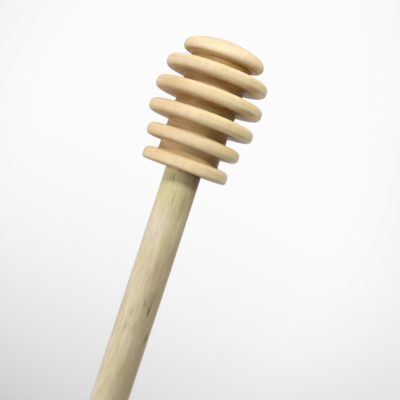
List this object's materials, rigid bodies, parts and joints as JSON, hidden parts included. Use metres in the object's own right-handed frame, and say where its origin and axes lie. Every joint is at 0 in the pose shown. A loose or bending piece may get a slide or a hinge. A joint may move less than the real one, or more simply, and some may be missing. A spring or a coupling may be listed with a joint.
{
  "type": "honey dipper",
  "caption": "Wooden honey dipper: a turned, grooved head with a domed top, bored and glued onto a straight dowel handle.",
  "frame": {"origin": "centre of the flat end face of the handle, on the handle's axis", "axes": "+Z along the handle from its free end to the head; the head leans 1.65 degrees from +Z towards +X; +Y completes the frame"},
  "size_m": [0.0284, 0.0284, 0.1598],
  "materials": {
    "head_wood": "bare fine-grained wood with a pinkish cream tone, turned and sanded smooth",
    "handle_wood": "bare straight-grained dowel wood, paler and greener than the head, sanded smooth",
    "glue": "cured wood glue, dull amber"
  },
  "bodies": {
    "root": {"head": "head_wood", "glue": "glue", "handle": "handle_wood"}
  },
  "joints": []
}
